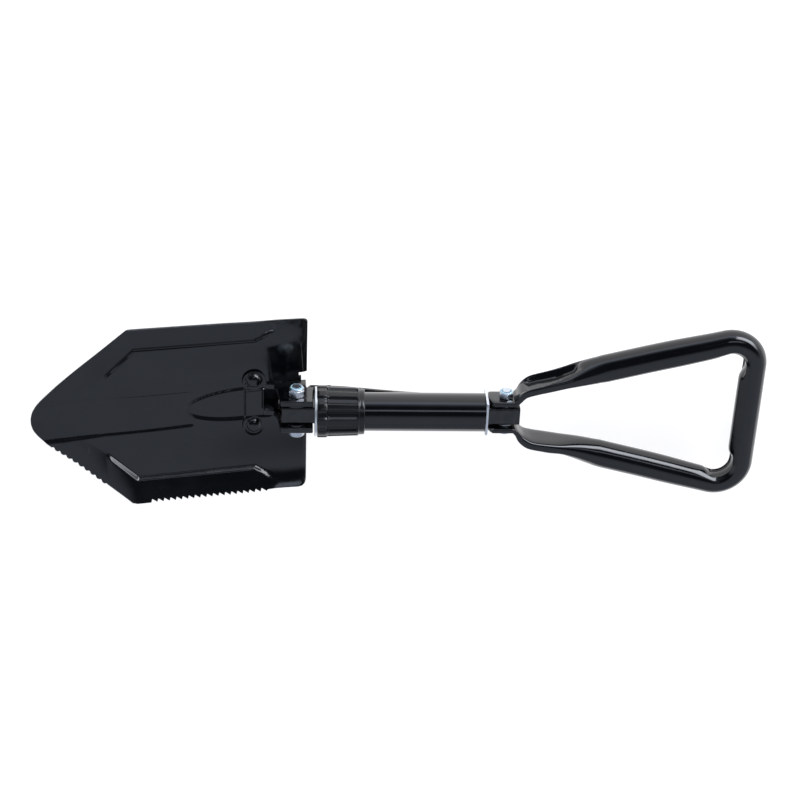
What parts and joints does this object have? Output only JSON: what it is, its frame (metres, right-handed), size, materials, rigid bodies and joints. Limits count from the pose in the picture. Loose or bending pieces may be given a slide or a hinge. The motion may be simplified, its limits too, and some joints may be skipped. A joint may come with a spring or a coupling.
{
  "type": "folding camp shovel",
  "caption": "Folding steel camp shovel: pointed dished blade with toothed edge, threaded lock collar, tube shaft, folding triangular grip and a pick stowed under the shaft.",
  "frame": {"origin": "middle of the footprint, at the lowest point of the blade's turned rear lip", "axes": "+X runs along the shaft from the blade to the grip, +Y is the nut side of both pivot bolts, +Z is the hollow side of the blade"},
  "size_m": [0.5994, 0.162, 0.0544],
  "materials": {
    "paint": "gloss black",
    "zinc": "bright zinc plate",
    "steel": "oiled dark steel",
    "plastic": "satin moulded",
    "nylon": "pale blue"
  },
  "bodies": {
    "shaft": {"inner_bar": "paint", "shaft_tube": "paint", "guide_bush": "steel", "threaded_sleeve": "steel", "end_plate": "zinc", "blade_bolt": "zinc", "blade_nut": "zinc", "blade_nut_insert": "nylon", "grip_bolt": "zinc", "grip_nut": "zinc", "grip_nut_insert": "nylon", "grip_shim_left": "zinc", "grip_shim_right": "zinc"},
    "blade": {"blade": "paint", "blade_bracket": "paint", "rivet_left": "paint", "rivet_right": "paint"},
    "grip": {"grip_frame": "paint"},
    "pick": {"pick": "paint"},
    "washer": {"lock_washer": "zinc"},
    "collar": {"lock_collar": "plastic"}
  },
  "joints": [
    {"name": "blade_fold", "type": "hinge", "parent": "shaft", "child": "blade", "pos_m": [-0.08571, 0, 0.03288], "axis": [0, 1, 0], "range_deg": [0, 168]},
    {"name": "grip_fold", "type": "hinge", "parent": "shaft", "child": "grip", "pos_m": [0.08659, 0, 0.03288], "axis": [0, -1, 0], "range_deg": [0, 180]},
    {"name": "pick_swing", "type": "hinge", "parent": "shaft", "child": "pick", "pos_m": [-0.08571, 0, 0.03288], "axis": [0, 1, 0], "range_deg": [0, 90]},
    {"name": "lock_travel", "type": "slide", "parent": "shaft", "child": "washer", "axis": [1, 0, 0], "range_m": [0, 0.004]},
    {"name": "collar_turn", "type": "hinge", "parent": "washer", "child": "collar", "pos_m": [-0.05, 0, 0.03288], "axis": [1, 0, 0], "range_deg": [0, 480]}
  ],
  "couplings": [
    {"joint": "lock_travel", "follows": "collar_turn", "m_per_rad": 0.00047746}
  ]
}
